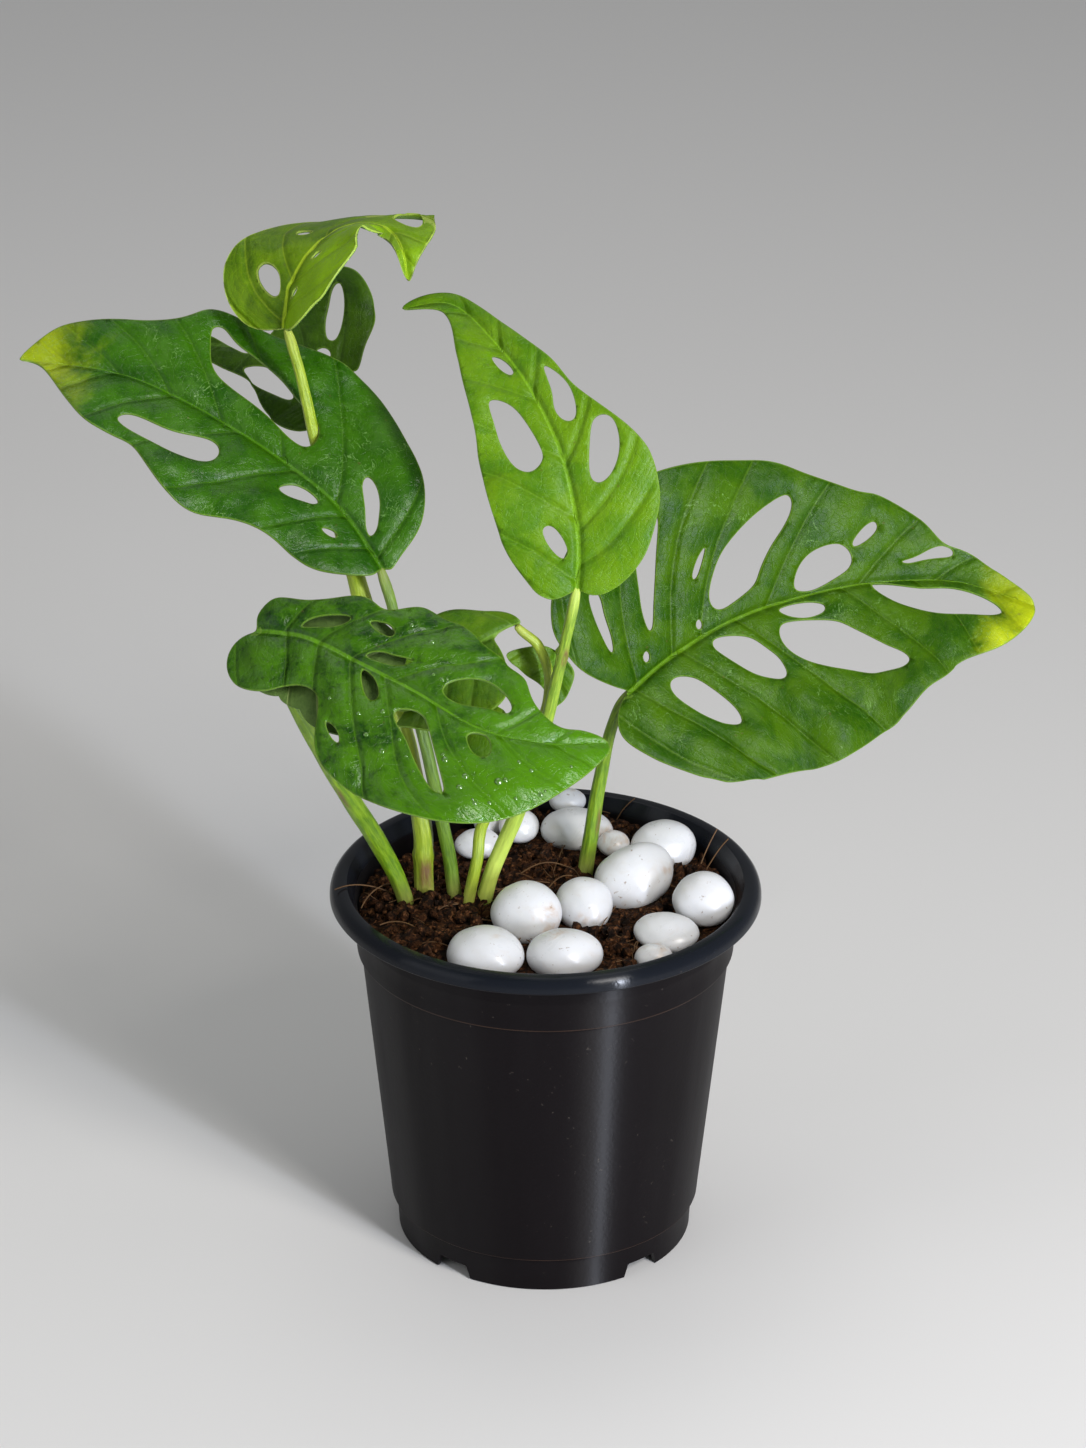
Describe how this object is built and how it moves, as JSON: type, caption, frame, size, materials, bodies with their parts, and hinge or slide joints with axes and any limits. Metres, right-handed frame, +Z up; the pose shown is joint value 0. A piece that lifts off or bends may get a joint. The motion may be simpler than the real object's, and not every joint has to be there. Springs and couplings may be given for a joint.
{
  "type": "potted climbing house plant",
  "caption": "Potted climbing plant with holed, waved leaves on thin stalks, in a small round black nursery pot topped with white pebbles.",
  "frame": {"origin": "middle of the whole plant's bounding box, on the plane the pot stands on", "axes": "+Z up from the foot ring to the top leaf, +X to the viewer's right along the long leaf, +Y away from the viewer who sees the front leaf"},
  "size_m": [0.3123, 0.1971, 0.3149],
  "materials": {
    "pot": "satin",
    "soil": "rough",
    "pebble": "polished",
    "leaf_deep": "satin",
    "leaf_young": "satin",
    "leaf_dark": "satin",
    "stalk": "satin",
    "stalk_dark": "satin"
  },
  "bodies": {
    "root": {"pot": "pot", "soil": "soil", "pebble_01": "pebble", "pebble_02": "pebble", "pebble_03": "pebble", "pebble_04": "pebble", "pebble_05": "pebble", "pebble_06": "pebble", "pebble_07": "pebble", "pebble_08": "pebble", "pebble_09": "pebble", "pebble_10": "pebble", "pebble_11": "pebble", "pebble_12": "pebble", "pebble_13": "pebble", "pebble_14": "pebble", "pebble_15": "pebble", "stem_front": "stalk", "stem_main": "stalk", "stem_left": "stalk_dark", "stem_inner": "stalk", "stem_middle": "stalk", "stem_right": "stalk", "leaf_left": "leaf_deep", "leaf_middle": "leaf_deep", "leaf_right": "leaf_deep", "leaf_front": "leaf_deep", "leaf_top": "leaf_young", "leaf_back": "leaf_dark", "leaf_inner": "leaf_deep", "leaf_inner_small": "leaf_deep"}
  },
  "joints": []
}
